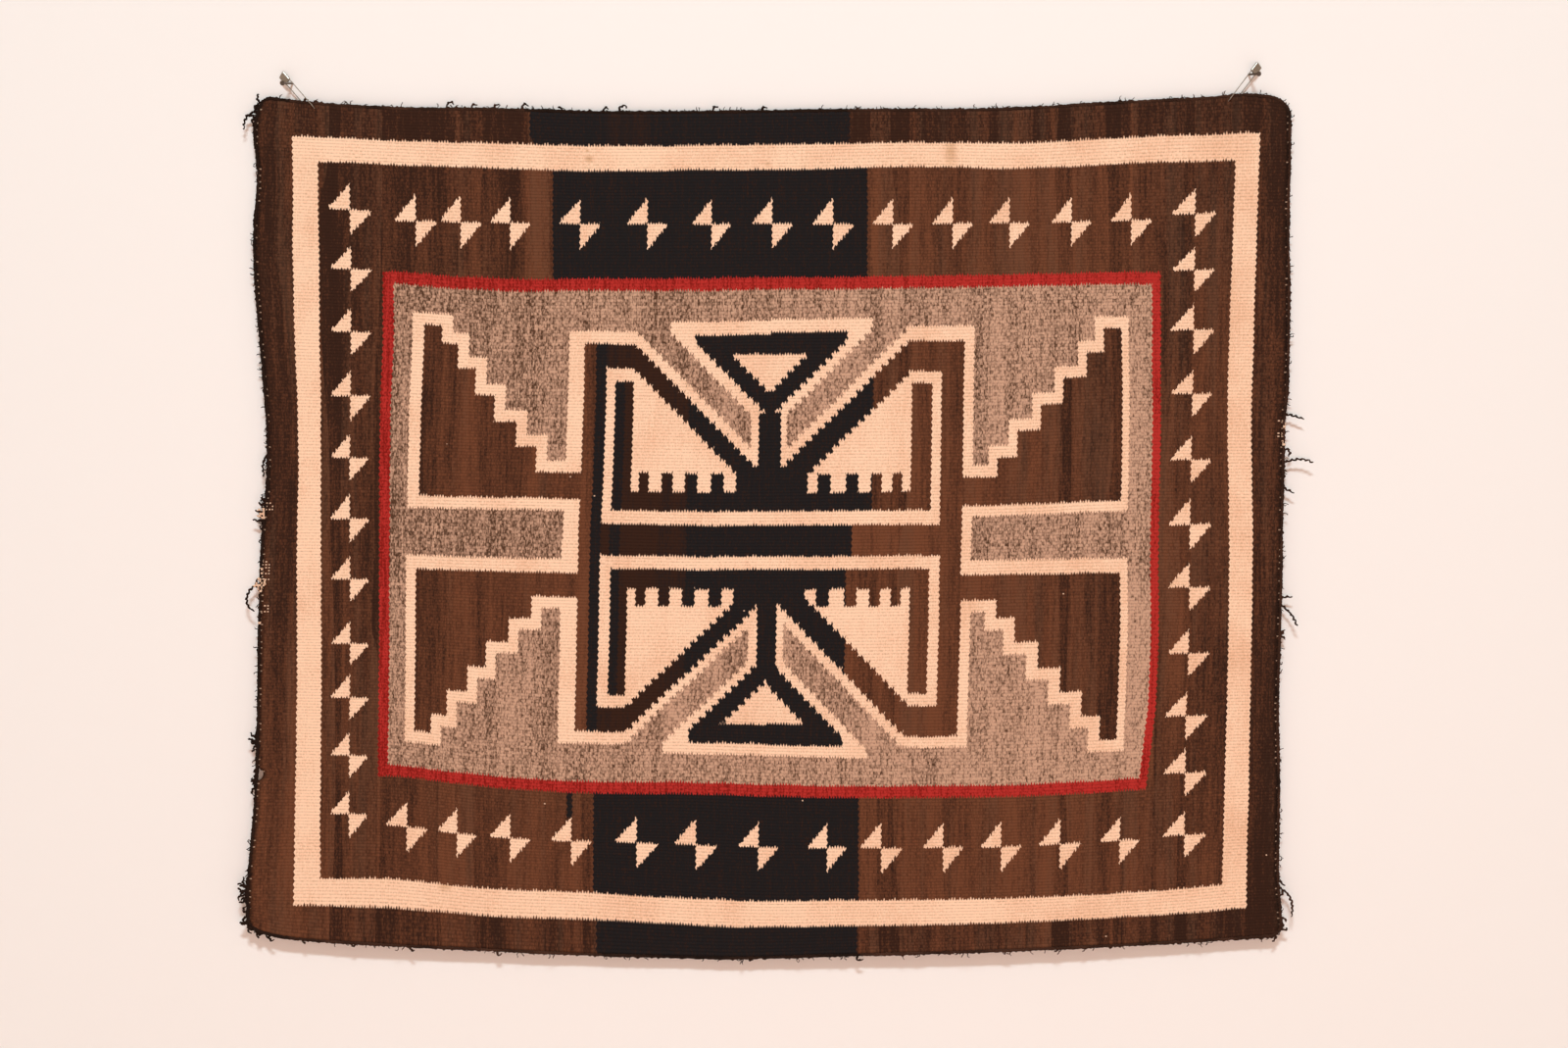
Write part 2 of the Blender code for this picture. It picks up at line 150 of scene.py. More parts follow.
# Short frayed ends that only the look has: at the top left corner, and leaning into the worn hole
FRAYED = {
    "left": [
        (3, 13, 50, -160), (8, 12, 10, 190), (17, 16, -20, -150), (20, 18, 15, 210), (26, 8, 30, 120),
        (740, 8, -150, 60), (744, 7, 175, -60), (752, 7, 165, 80), (757, 9, 140, -40), (763, 9, 20, 150),
        (786, 9, -20, 170), (735, 10, 30, -140), (932, 12, -10, 160), (926, 9, 25, -150),
        (938, 11, 40, -120), (941, 12, 30, 150), (935, 10, 60, -90),
    ],
    "right": [
        (926, 9, -20, 130), (900, 8, 10, -120), (932, 8, 25, 150), (938, 9, 50, -140),
    ],
    "top": [
        (47, 7, -60, 200), (60, 6, 40, -200), (336, 7, 30, -160), (402, 14, -40, 190),
    ],
    "bottom": [
        (1, 11, -40, 170), (4, 12, -10, -160), (7, 10, 20, 190), (11, 9, -30, 120), (15, 8, 10, -170),
        (20, 7, -20, 150), (1150, 9, 20, -150), (1144, 8, 30, 160), (1136, 6, 0, -160),
        (60, 6, -30, 180), (118, 6, 30, -180), (560, 6, -30, 180), (905, 6, 30, -180),
    ],
}

# Short fibres that stand out all along the cords
FUZZ_PITCH = {"top": 9.0, "bottom": 12.0, "left": 8.0, "right": 14.0}
FUZZ_RADIUS, FUZZ_SEED = 0.55, 23
FUZZ_LENGTHS = (3.5, 7.0)
FUZZ_LEAN, FUZZ_TURN = 60, 160

# The twist of the edge cords and the kinks of loose yarn
PLIES = 3
PLY_RADIUS, PLY_OFFSET, PLY_PITCH = 1.45, 1.05, 9.0
NUB_HEIGHT, NUB_SEED = 0.45, 11  # the wool's uneven lumps
NUB_THICKENING, PLY_THINNING = 0.5, 0.2
SWELL, SWELL_TURN = 0.12, 0.37
SLOW_SWELL, SLOW_SWELL_TURN = 0.08, 0.113
CORD_SINK = 1.0  # how far the cord is drawn into the web's rim
CORD_STEP, CORD_SIDES = 1.8, 6
YARN_STEP, YARN_SIDES = 1.1, 5
KINK, KINK_PITCH = 0.8, 5.0
YARN_PHASE, FUZZ_PHASE = 1.7, 2.3  # how far the kinks shift from one yarn to the next

# The camera, 2.4 m in front of the rug, and the wall behind it
CAMERA_AT = (0.0143, -2.4, -0.4659)
VIEW_WIDTH = 1.76  # what the photograph's width takes in at the rug
SENSOR_WIDTH = 36.0
WALL_BACK, WALL_TOP = 0.0085, 1.4
FLOOR_DROP = -1.25
STAGE_SIDE, STAGE_FRONT, STAGE_REAR = 3.0, -4.0, 3.0

# The studio's light: cool from above, warm from low in front, plain from behind
Lamp = namedtuple("Lamp", "name spot target size watts colour")
LAMPS = [
    Lamp("overhead", (0.0, -3.9, 3.6), (0.0, -2.9, -1.75), (1.3, 0.6), 291.0, (0.68, 0.87, 0.97)),
    Lamp("front", (0.1, -2.6, -1.0), (0.0, 0.0, -0.8), (2.2, 0.3), 12.5, (1.0, 0.42, 0.31)),
    Lamp("rear", (0.6, 3.2, 1.2), (0.0, 0.0, -0.5), (2.0, 1.2), 60.0, (1.0, 0.97, 0.94)),
]
SKY_COLOUR, SKY_STRENGTH = (1.0, 0.76, 0.59, 1.0), 0.43


def srgb(red, green, blue):
    """A colour as the eye reads it, 0 to 255, in the linear values that Blender mixes."""
    def linear(value):
        share = value / 255
        return share / 12.92 if share <= 0.04045 else ((share + 0.055) / 1.055) ** 2.4
    return (linear(red), linear(green), linear(blue), 1.0)


# Dyes and natural wools
CREAM = srgb(247, 203, 170)
CREAM_SHADE = srgb(228, 176, 141)
STAIN = srgb(196, 146, 104)
GREY_LIGHT = srgb(198, 154, 127)
GREY_DARK = srgb(84, 57, 41)
RED = srgb(176, 47, 41)
RED_DARK = srgb(130, 28, 22)
BLACK = srgb(32, 29, 29)
BROWN_DARK = srgb(54, 33, 24)
BROWN_LIGHT = srgb(110, 65, 43)
BROWN_GREY = srgb(92, 66, 50)
CORD_DARK = srgb(28, 20, 16)
CORD_BROWN = srgb(78, 50, 37)

# Steel and the stage
PLATED, PLATED_DULL = srgb(196, 184, 170), srgb(116, 102, 90)
BARE, BARE_DULL = srgb(118, 104, 94), srgb(70, 56, 48)
FLOOR_COLOUR = (0.8, 0.76, 0.72, 1.0)
WALL_COLOUR = srgb(245, 235, 228)
WOOL_ROUGHNESS = 0.95


# Curves and the shape of the hanging cloth

def through(knots, values, at):
    """A smooth curve through values at knots, read at each place in an array."""
    at = np.clip(at, knots[0], knots[-1])
    values = [np.broadcast_to(np.asarray(v, float), at.shape) for v in values]

    def slope(k):
        before, after = max(k - 1, 0), min(k + 1, len(knots) - 1)
        return (values[after] - values[before]) / (knots[after] - knots[before])

    result = np.array(values[0])
    for i, (a, b) in enumerate(zip(knots, knots[1:])):
        t = (at - a) / (b - a)
        piece = (2 * t**3 - 3 * t**2 + 1) * values[i] + (t**3 - 2 * t**2 + t) * (b - a) * slope(i)
        piece += (3 * t**2 - 2 * t**3) * values[i + 1] + (t**3 - t**2) * (b - a) * slope(i + 1)
        result = np.where((at >= a) & (at <= b), piece, result)
    return result


def bulge(edge, share):
    along, out = zip(*BULGES[edge])
    return through(along, out, np.asarray(share, float) * along[-1])


def smooth_step(x):
    x = np.clip(x, 0.0, 1.0)
    return x * x * (3 - 2 * x)


def depth(across, down):
    """The web's Y at shares of its width and height."""
    forward = BOTTOM_STAND_OFF * down**2
    broad = np.sin(2 * np.pi * (BROAD_COUNT * across + BROAD_START))
    forward = forward + BROAD_WAVE * broad * down * (1.2 - 0.5 * down)
    fade = np.sin(np.pi * np.minimum(down * 1.3, 1.0))
    forward = forward + SLANT_WAVE * np.sin(2 * np.pi * (SLANT_COUNT * across + SLANT_LEAN * down)) * fade
    curl = smooth_step((across - 1 + CURL_WIDTH) / CURL_WIDTH) * smooth_step(1 - down / CURL_DROP)
    return CORNER_CURL * curl - forward


def round_corners(x, z):
    """Moves points near the four square corners of the flat web onto rounded ones."""
    for name, radius in CORNER_ROUNDING.items():
        right, bottom = name.endswith("right"), name.startswith("bottom")
        near_x, near_z = (WEB_WIDTH - x if right else x), (WEB_HEIGHT - z if bottom else z)
        p, q = 1 - near_x / radius, 1 - near_z / radius
        inside = (p > 0) & (q > 0)
        p, q = np.where(inside, p, 0), np.where(inside, q, 0)
        near_x = near_x + radius * p * (1 - np.sqrt(1 - q * q / 2))
        near_z = near_z + radius * q * (1 - np.sqrt(1 - p * p / 2))
        x, z = (WEB_WIDTH - near_x if right else near_x), (WEB_HEIGHT - near_z if bottom else near_z)
    return x, z


def place(across, down):
    """The point of the web's middle surface at shares of its width and height, as the CAD source has it."""
    x, z = round_corners(np.asarray(across * WEB_WIDTH), np.asarray(down * WEB_HEIGHT))
    x = x + across * bulge("right", down) - (1 - across) * bulge("left", down)
    z = z + down * bulge("bottom", across) - (1 - down) * bulge("top", across)
    return Vector((float(x) - WEB_WIDTH / 2, float(depth(across, down)), -CORD_BAND - float(z))) * MM


def edge_shares(edge, share):
    return {"top": (share, 0.0), "bottom": (share, 1.0), "left": (0.0, share), "right": (1.0, share)}[edge]


def cord_place(edge, share):
    """A point on a cord's middle line, the way straight out of the web there, and the way along."""
    before = place(*edge_shares(edge, max(share - SLOPE_STEP, 0.0)))
    after = place(*edge_shares(edge, min(share + SLOPE_STEP, 1.0)))
    along = (after - before).normalized()
    out = along.cross(Vector((0, 1, 0))).normalized()
    if edge in ("bottom", "left"):
        out = -out
    return place(*edge_shares(edge, share)) + out * (CORD_RADIUS + GAP) * MM, out, along


def hang(flat_x, flat_z, length_down):
    """Where flat places of the web hang: x from the middle and z down from the top.

    The edges are the CAD edges. Between them the weave's lines stray as the tables say.
    """
    def at_edge(edge, place_along, first, last, size):
        corner = 1.0 if edge in ("bottom", "right") else 0.0
        start, end = float(bulge(first, corner)), float(bulge(last, corner))
        return bulge(edge, np.clip((place_along + start) / (size + start + end), 0, 1))

    x, z = flat_x, flat_z
    for _ in range(3):
        across, down = x + WEB_WIDTH / 2, z - CORD_BAND
        top = CORD_BAND - at_edge("top", across, "left", "right", WEB_WIDTH)
        bottom = RUG_HEIGHT - CORD_BAND + at_edge("bottom", across, "left", "right", WEB_WIDTH)
        left = -WEB_WIDTH / 2 - at_edge("left", down, "top", "bottom", WEB_HEIGHT)
        right = WEB_WIDTH / 2 + at_edge("right", down, "top", "bottom", WEB_HEIGHT)
        levels = [CORD_BAND, *SAG, CORD_BAND + length_down]
        sags = [level + through(STATIONS, sag, flat_x) for level, sag in SAG.items()]
        heights = [top, *sags, bottom]
        stations = [-WEB_WIDTH / 2, *STRAY, WEB_WIDTH / 2]
        strays = [station + through(LEVELS, stray, flat_z) for station, stray in STRAY.items()]
        sides = [left, *strays, right]
        x, z = through(stations, sides, flat_x), through(levels, heights, flat_z)
    return x, z


# Meshes

def add_object(name, data):
    made = bpy.data.objects.new(name, data)
    bpy.context.scene.collection.objects.link(made)
    return made


def new_object(name, points, faces):
    mesh = bpy.data.meshes.new(name)
    mesh.from_pydata([tuple(p) for p in points], [], faces)
    mesh.validate()
    mesh.update()
    return add_object(name, mesh)


def grid_faces(rows, columns, first, flip):
    index = first + np.arange(rows * columns).reshape(rows, columns)
    a, b, c, d = index[:-1, :-1], index[1:, :-1], index[1:, 1:], index[:-1, 1:]
    loops = (a, d, c, b) if flip else (a, b, c, d)
    return np.stack([part.ravel() for part in loops], axis=1).tolist()


def sheet_faces(rows, columns):
    """The faces of a closed sheet: its front, its back and the rim between them."""
    count = rows * columns
    index = np.arange(count).reshape(rows, columns)
    rim = np.concatenate([index[0], index[1:, -1], index[-1, -2::-1], index[-2:0:-1, 0]]).tolist()
    faces = grid_faces(rows, columns, 0, False) + grid_faces(rows, columns, count, True)
    return faces + [(a, b, b + count, a + count) for a, b in zip(rim, rim[1:] + rim[:1])]


def web_grid(length_down):
    """The web's points as shares and as flat places, two rows to each rib."""
    shares = np.linspace(0, 1, WEB_COLUMNS + 1)
    shares = shares - END_CROWDING * np.sin(2 * np.pi * shares) / (2 * np.pi)
    across, down = np.meshgrid(shares, np.linspace(0, 1, 2 * round(length_down / RIB_PITCH) + 1))
    rounded_x, rounded_z = round_corners(across * WEB_WIDTH, down * WEB_HEIGHT)
    return across, down, rounded_x - WEB_WIDTH / 2, CORD_BAND + rounded_z * length_down / WEB_HEIGHT


def hung_places(across, down, flat_x, flat_z, length_down):
    """Where the web's points hang, with the worn bite, and the rim run out under the cords."""
    x, z = hang(flat_x, flat_z, length_down)
    bite = np.sqrt(np.clip(1 - ((z - BITE_DOWN) / BITE_HALF_HEIGHT) ** 2, 0, 1)) * BITE_DEPTH
    x = x + bite * np.clip(1 - across * BITE_FADE, 0, 1)
    x = x + RIM_TUCK * ((across == 1) * 1.0 - (across == 0))
    return x, z + RIM_TUCK * ((down == 1) * 1.0 - (down == 0))


def keep_flat_places(web, flat_x, flat_z):
    """Keeps each point's flat place on the loom as the UV map named weave."""
    flat = np.stack([flat_x, flat_z], axis=-1).reshape(-1, 2)
    weave = web.data.uv_layers.new(name="weave")
    corner = np.zeros(len(web.data.loops), int)
    web.data.loops.foreach_get("vertex_index", corner)
    weave.data.foreach_set("uv", flat[corner % len(flat)].ravel())


def make_web(look):
    """The cloth, a closed ribbed sheet, and its flat height in metres."""
    length_down = WEB_HEIGHT + float(bulge("bottom", 0.5)) + float(bulge("top", 0.5))
    across, down, flat_x, flat_z = web_grid(length_down)
    x, z = hung_places(across, down, flat_x, flat_z, length_down)
    rows, columns = across.shape
    middle = depth(across, down)
    half = WEB_THICKNESS / 2 + np.where(np.arange(rows) % 2, RIDGE, GROOVE)[:, None]
    front = np.stack([x, middle - half, -z], axis=-1).reshape(-1, 3)
    back = np.stack([x, middle + half, -z], axis=-1).reshape(-1, 3)
    web = new_object("woven_web", np.concatenate([front, back]) * MM, sheet_faces(rows, columns))
    keep_flat_places(web, flat_x, flat_z)
    web.data.shade_smooth()
    web.data.materials.append(look)
    return web, length_down * MM


class Tubes:
    """A mesh of closed tubes, gathered one by one."""

    def __init__(self):
        self.points, self.faces = [], []

    def add(self, line, radii, sides):
        first = len(self.points)
        before = line[1] - line[0]
        side = before.cross(Vector((0.1, 1, 0.2))).normalized()
        for i, spot in enumerate(line):
            ahead = (line[min(i + 1, len(line) - 1)] - line[max(i - 1, 0)]).normalized()
            side = (side - ahead * side.dot(ahead)).normalized()
            other = ahead.cross(side)
            for k in range(sides):
                turn = 2 * math.pi * k / sides
                self.points.append(spot + (side * math.cos(turn) + other * math.sin(turn)) * radii[i])
        for i in range(len(line) - 1):
            a, b = first + i * sides, first + (i + 1) * sides
            self.faces += [(a + k, a + (k + 1) % sides, b + (k + 1) % sides, b + k) for k in range(sides)]
        last = first + (len(line) - 1) * sides
        self.faces.append([first + k for k in reversed(range(sides))])
        self.faces.append([last + k for k in range(sides)])


def strand_line(strand):
    """The bent line of one loose yarn, from the middle of its cord outwards, as in the CAD source."""
    root, out, along = cord_place(strand.edge, strand.along / EDGE_LENGTHS[strand.edge])
    steps = max(4, math.ceil(strand.length / STRAND_STEP), math.ceil(abs(strand.turns) / STRAND_TURN_STEP))
    line = [root]
    for i in range(steps):
        angle = math.radians(strand.leaves + strand.turns * (i + 0.5) / steps)
        onwards = out * math.cos(angle) + along * math.sin(angle) + Vector((0, -STRAND_DRIFT, 0))
        line.append(line[-1] + onwards * (strand.length * MM / steps))
    return line


def tuft_strands(tuft):
    count = tuft.strands * TUFT_FULLNESS
    for i in range(count):
        place_in_tuft = (i - (count - 1) / 2) / TUFT_FULLNESS
        length = tuft.length * (0.75 + 0.25 * math.cos(2.4 * i + tuft.along))
        curl = TUFT_CURL * math.sin(1.9 * i + tuft.along)
        along = tuft.along + place_in_tuft * TUFT_PITCH
        yield Strand(tuft.edge, along, length, place_in_tuft * TUFT_FAN, curl)


def kinked(line, phase):
    """A smooth line through the points, with the small kinks that wool keeps from the weave."""
    knots = [0.0]
    for a, b in zip(line, line[1:]):
        knots.append(knots[-1] + (b - a).length / MM)
    at = np.linspace(0, knots[-1], max(4, round(knots[-1] / YARN_STEP)))
    spots = [through(knots, [point[axis] for point in line], at) for axis in range(3)]
    fade = np.minimum(at / KINK_PITCH, 1.0) * KINK * MM
    turn = 2 * np.pi * at / KINK_PITCH + phase
    spots[0] = spots[0] + fade * np.sin(turn)
    spots[1] = spots[1] + fade * 0.5 * np.cos(turn)
    spots[2] = spots[2] + fade * np.cos(turn * 0.8)
    return [Vector(spot) for spot in zip(*spots)]


def fuzz_strands(edge, luck):
    """Short fibres at uneven places all along an edge."""
    along = luck.uniform(0, FUZZ_PITCH[edge])
    while along < EDGE_LENGTHS[edge]:
        lean, turn = luck.uniform(-FUZZ_LEAN, FUZZ_LEAN), luck.uniform(-FUZZ_TURN, FUZZ_TURN)
        yield Strand(edge, along, luck.uniform(*FUZZ_LENGTHS), lean, turn)
        along += luck.expovariate(1 / FUZZ_PITCH[edge])


def add_yarn(tubes, strand, phase, radius=STRAND_RADIUS):
    line = kinked(strand_line(strand), phase)
    last = len(line) - 1
    swells = [1.0 + 0.2 * math.sin(1.3 * i + phase) - 0.4 * (i / last) ** 4 for i in range(last + 1)]
    tubes.add(line, [radius * MM * swell for swell in swells], YARN_SIDES)


def add_plies(tubes, edge):
    """The twisted plies of an edge cord, of lumpy yarn."""
    size = WEB_WIDTH if edge in ("top", "bottom") else WEB_HEIGHT
    count = round(size / CORD_STEP)
    luck = random.Random(NUB_SEED)
    stations = [cord_place(edge, i / count) for i in range(count + 1)]
    for ply in range(PLIES):
        line, radii = [], []
        for i, (spot, out, along) in enumerate(stations):
            turn = 2 * math.pi * (i * CORD_STEP / PLY_PITCH + ply / PLIES)
            swell = 1 + SWELL * math.sin(i * SWELL_TURN + 3 * ply)
            swell += SLOW_SWELL * math.sin(i * SLOW_SWELL_TURN)
            nub = abs(luck.gauss(0, NUB_HEIGHT))
            offset = (out * math.cos(turn) + along.cross(out) * math.sin(turn)) * PLY_OFFSET * swell
            line.append(spot + (offset + out * (nub - CORD_SINK)) * MM)
            radii.append((PLY_RADIUS * swell + nub * NUB_THICKENING - PLY_THINNING) * MM)
        tubes.add(line, radii, CORD_SIDES)


def add_loose_yarns(tubes, edge):
    """The loose yarns, tufts and frayed ends of an edge, and the fuzz all along it."""
    loose = [Strand(edge, *row) for row in STRANDS[edge] + FRAYED[edge]]
    loose += [strand for tuft in TUFTS if tuft.edge == edge for strand in tuft_strands(tuft)]
    for i, strand in enumerate(loose):
        add_yarn(tubes, strand, i * YARN_PHASE)
    for i, strand in enumerate(fuzz_strands(edge, random.Random(FUZZ_SEED + len(edge)))):
        add_yarn(tubes, strand, i * FUZZ_PHASE, FUZZ_RADIUS)


def make_cord(edge, name, look):
    tubes = Tubes()
    add_plies(tubes, edge)
    add_loose_yarns(tubes, edge)
    cord = new_object(name, tubes.points, tubes.faces)
    cord.data.shade_smooth()
    cord.data.materials.append(look)
    return cord


# Sums written as nodes

SPAN = 1000.0  # the chart lies within this of its zero, in millimetres


class Value:
    """A number, vector or colour that a material's nodes work out. Sums with it add nodes."""

    def __init__(self, socket):
        self.socket, self.tree = socket, socket.id_data

    def node(self, kind, **settings):
        made = self.tree.nodes.new("ShaderNode" + kind)
        for name, setting in settings.items():
            setattr(made, name, setting)
        return made

    def math(self, operation, *others):
        node = self.node("Math", operation=operation)
        for socket, value in zip(node.inputs, (self, *others)):
            put(socket, value)
        return Value(node.outputs[0])

    __add__ = partialmethod(math, "ADD")
    __sub__ = partialmethod(math, "SUBTRACT")
    __mul__ = partialmethod(math, "MULTIPLY")
    __lt__ = partialmethod(math, "LESS_THAN")
    __gt__ = partialmethod(math, "GREATER_THAN")
    __and__ = partialmethod(math, "MULTIPLY")
    __or__ = partialmethod(math, "MAXIMUM")
    __abs__ = partialmethod(math, "ABSOLUTE")
    times_plus = partialmethod(math, "MULTIPLY_ADD")
    floor = partialmethod(math, "FLOOR")
    fract = partialmethod(math, "FRACT")

    def between(self, low, high):
        return self.math("COMPARE", (low + high) / 2, (high - low) / 2)

    def steps(self, pitch):
        """The middle of the step of that pitch that the number lies in."""
        return self.math("SNAP", pitch) + pitch / 2


def put(socket, value):
    if isinstance(value, Value):
        value.tree.links.new(value.socket, socket)
    else:
        socket.default_value = value


def mixed(kind, factor, a, b):
    """A mix of two colours, vectors or numbers."""
    node = factor.node("Mix", data_type=kind)
    first = {"FLOAT": 2, "VECTOR": 4, "RGBA": 6}[kind]
    put(node.inputs[0], factor)
    put(node.inputs[first], a)
    put(node.inputs[first + 1], b)
    return Value(node.outputs[first // 2 - 1])


def painted(under, share, over):
    """A colour with another one over it, as strong as the share says."""
    return mixed("RGBA", share, under, over)


def vector(x, y):
    node = x.node("CombineXYZ")
    put(node.inputs[0], x)
    put(node.inputs[1], y)
    return Value(node.outputs[0])


def parts_of(spot):
    node = spot.node("SeparateXYZ")
    put(node.inputs[0], spot)
    return [Value(output) for output in node.outputs]


def noise(x, y, detail=2.0):
    """Soft noise of about 0 to 1, whose grains are 1 across."""
    node = x.node("TexNoise", noise_dimensions="2D")
    put(node.inputs["Vector"], vector(x, y))
    put(node.inputs["Scale"], 1.0)
    put(node.inputs["Detail"], detail)
    return Value(node.outputs["Fac"])


def chance(x, y):
    """An even number of 0 to 1 for each cell."""
    node = x.node("TexWhiteNoise", noise_dimensions="2D")
    put(node.inputs["Vector"], vector(x, y))
    return Value(node.outputs["Value"])


def limited(value):
    """The value, held between 0 and 1."""
    return value.math("MAXIMUM", 0.0).math("MINIMUM", 1.0)


def length(spread):
    node = spread.node("VectorMath", operation="LENGTH")
    put(node.inputs[0], spread)
    return Value(node.outputs["Value"])


def nearest(at, centres):
    """The nearest of the centres to a place from -SPAN to SPAN."""
    node = at.node("ValToRGB")
    ramp = node.color_ramp
    ramp.interpolation = "CONSTANT"
    starts = [-SPAN] + [(a + b) / 2 for a, b in zip(centres, centres[1:])]
    while len(ramp.elements) < len(centres):
        ramp.elements.new(1.0)
    for element, start, centre in zip(ramp.elements, starts, centres):
        share = (centre + SPAN) / (2 * SPAN)
        element.position = (start + SPAN) / (2 * SPAN)
        element.color = (share, share, share, 1.0)
    put(node.inputs[0], at.times_plus(0.5 / SPAN, 0.5))
    return Value(node.outputs[0]).times_plus(2 * SPAN, -SPAN)


def any_of(masks):
    first, *others = masks
    for mask in others:
        first = first | mask
    return first


def new_material(name, roughness, specular=0.5):
    """A node material, its node tree and its shader."""
    made = bpy.data.materials.new(name)
    made.use_nodes = True
    shader = made.node_tree.nodes["Principled BSDF"]
    put(shader.inputs["Roughness"], roughness)
    put(shader.inputs["Specular IOR Level"], specular)
    return made, made.node_tree, shader


def add_bump(shader, height, strength, distance):
    """Relief on a shader. The distance is in metres."""
    node = height.node("Bump")
    put(node.inputs["Strength"], strength)
    put(node.inputs["Distance"], distance)
    put(node.inputs["Height"], height)
    put(shader.inputs["Normal"], Value(node.outputs[0]))


# The weaver's chart. The figure is charted from its own middle, out and up or down, one value a quarter:
# upper left, upper right, lower left and lower right
MIDDLE_ACROSS, MIDDLE_DOWN = -2.75, 486.0
Quarter = namedtuple("Quarter", "upper_left upper_right lower_left lower_right")
FIGURE = {
    "terrace_outer": (405, 402.6, 406.5, 402.5),
    "terrace_inner": (392, 394.8, 395.5, 394.2),
    "terrace_top_outer": (255, 246.3, 243, 239),
    "terrace_top_inner": (239, 233, 229, 225.8),
    "terrace_foot_outer": (32.3, 26, 21.4, 24.4),
    "terrace_foot_inner": (45.8, 38.2, 37, 40.5),
    "stem_outer": (229.5, 227.3, 230.7, 227),
    "stem_inner": (212, 216.2, 211.8, 216),
    "frame_outer": (236.7, 239.4, 228, 228.5),
    "frame_inner": (222.2, 223, 214.5, 216.5),
    "box_outer": (187, 191, 187.4, 191.7),
    "box_inner": (177, 180.8, 175.5, 180),
    "box_top_outer": (194.6, 189, 186.7, 181.7),
    "box_top_inner": (180, 176, 173.4, 168.7),
    "box_foot_inner": (33.9, 33.9, 31, 31),
    "box_foot_outer": (18.5, 18.5, 16.7, 16.7),
    "panel_side": (156, 158, 156.4, 158.5),
    "panel_tip": (38, 42.4, 39, 40.9),
    "panel_foot": (56, 55, 53.2, 52.8),
    "comb_top": (77, 75.6, 73.2, 72.4),
    "bar_outer": (247.7, 249.5, 239, 239.5),
    "bar_inner": (232.3, 235, 226.6, 227.5),
    "triangle_top": (210, 209.3, 204.6, 202.5),
    "post_outer": (22.5, 18.4, 22, 17.4),
    "post_inner": (13.6, 11.8, 12.2, 9.7),
    "slant_panel": (38, 32, 31, 21.5),
    "centre_inner": (68, 69.6, 60.2, 60),
    "centre_outer": (83.7, 85.1, 73, 74.4),
    "triangle_outer": (120.6, 123.8, 113.3, 117.3),
    "triangle_inner": (138.2, 138.6, 126, 131),
    "slant_middle": (166.2, 167.5, 155.5, 161),
    "stair_shift": (11.9, 9.9, 11.3, 12.6),
    "stair_out_1": (371.9, 374.5, 376.4, 374.9),
    "stair_out_2": (353.5, 354.6, 358.5, 353.6),
    "stair_out_3": (333.1, 328.1, 335.3, 328.5),
    "stair_out_4": (310.9, 302.9, 314.4, 303),
    "stair_out_5": (285.9, 276.9, 289.1, 276.8),
    "stair_out_6": (262.6, 254.7, 263.2, 255.9),
    "stair_up_1": (219.2, 206.6, 206.8, 198.7),
    "stair_up_2": (192.4, 178.6, 177.1, 171.2),
    "stair_up_3": (163, 149.3, 147.3, 143.9),
    "stair_up_4": (133.1, 121.2, 117, 115.2),
    "stair_up_5": (104.7, 91.4, 89.4, 88.4),
    "stair_up_6": (75.8, 70.5, 64.1, 67.8),
}
STAIRS = 6
STAIR_RISE = 13.0  # how much higher the cream's outer stairs stand than its inner ones
TRIANGLE_REACH = {"outer": 114.0, "inner": 86.0}
POST_TOP = 145.0
Notch = namedtuple("Notch", "left right half_width")
NOTCHES = [Notch(59, 60.6, 7.3), Notch(88.7, 92, 7), Notch(115.3, 119.2, 6.2), Notch(141.5, 143, 5.6)]

# The frames round the figure
Box = namedtuple("Box", "left right top bottom")
CREAM_OUTER = Box(-532.6, 541, 40.7, 917.6)
CREAM_INNER = Box(-505.2, 514.3, 68.2, 888.8)
RED_OUTER = Box(-439.5, 434.8, 189.7, 770.5)
RED_INNER = Box(-428, 425.8, 203.4, 757.3)
PINCH_FROM, PINCH = 680.0, 0.095  # how the red frame's right side leans in, lower down

# The small paired triangles of the border, at their middles
MOTIF_WIDTH, MOTIF_HEIGHT, MOTIF_STEPS = 23.5, 28.4, 6
RIGHT_MOTIF_WIDTH = 26.5
MOTIF_SPREAD, COLUMN_MOTIF = 0.08, 0.94  # how far their sizes differ, and how large the side ones are
TOP_ROW = [-403.8, -354.5, -299.5, -220.9, -144.1, -70.4, -0.9, 67, 133.2, 199.9, 264.5, 335.4, 403.3]
BOTTOM_ROW = [-406, -348.5, -287.5, -218, -145, -80, -11, 66.4, 127.7, 198, 263.5, 330.3, 398]
LEFT_COLUMN = [119.5, 187.9, 258.5, 329.6, 399.1, 467.2, 537.2, 614.3, 679.1, 748, 816.6]
RIGHT_COLUMN = [123.9, 188, 255.9, 328.1, 402.8, 474.7, 543.4, 617.7, 689.2, 753.7, 825.9]
ROW_DOWN = (129.3, 828.0)
COLUMN_ACROSS = (-472.6, 470.0)
COLUMN_START = 437.0

# Where the dark wool is black and not brown
BLACK_PATCHES = [
    Box(-277, -192, 0, 36), Box(-273, -192, 36, 45), Box(-268, -192, 45, 54), Box(-141, 85.5, 0, 54),
    Box(-251.6, 105, 54, 200), Box(-193, 102, 760, 903), Box(-189.5, 100, 903, 1000),
    Box(-201.5, -190, 262, 705), Box(-180, -168.4, 300, 662), Box(-95, 112, 200, 464),
    Box(-95, 90, 460, 510), Box(-95, 84, 510, 760), Box(-223, -217, 768, 800),
]
BLACK_BROWN_PATCHES = [Box(-192, -141, 0, 54), Box(-190, -95, 200, 760)]

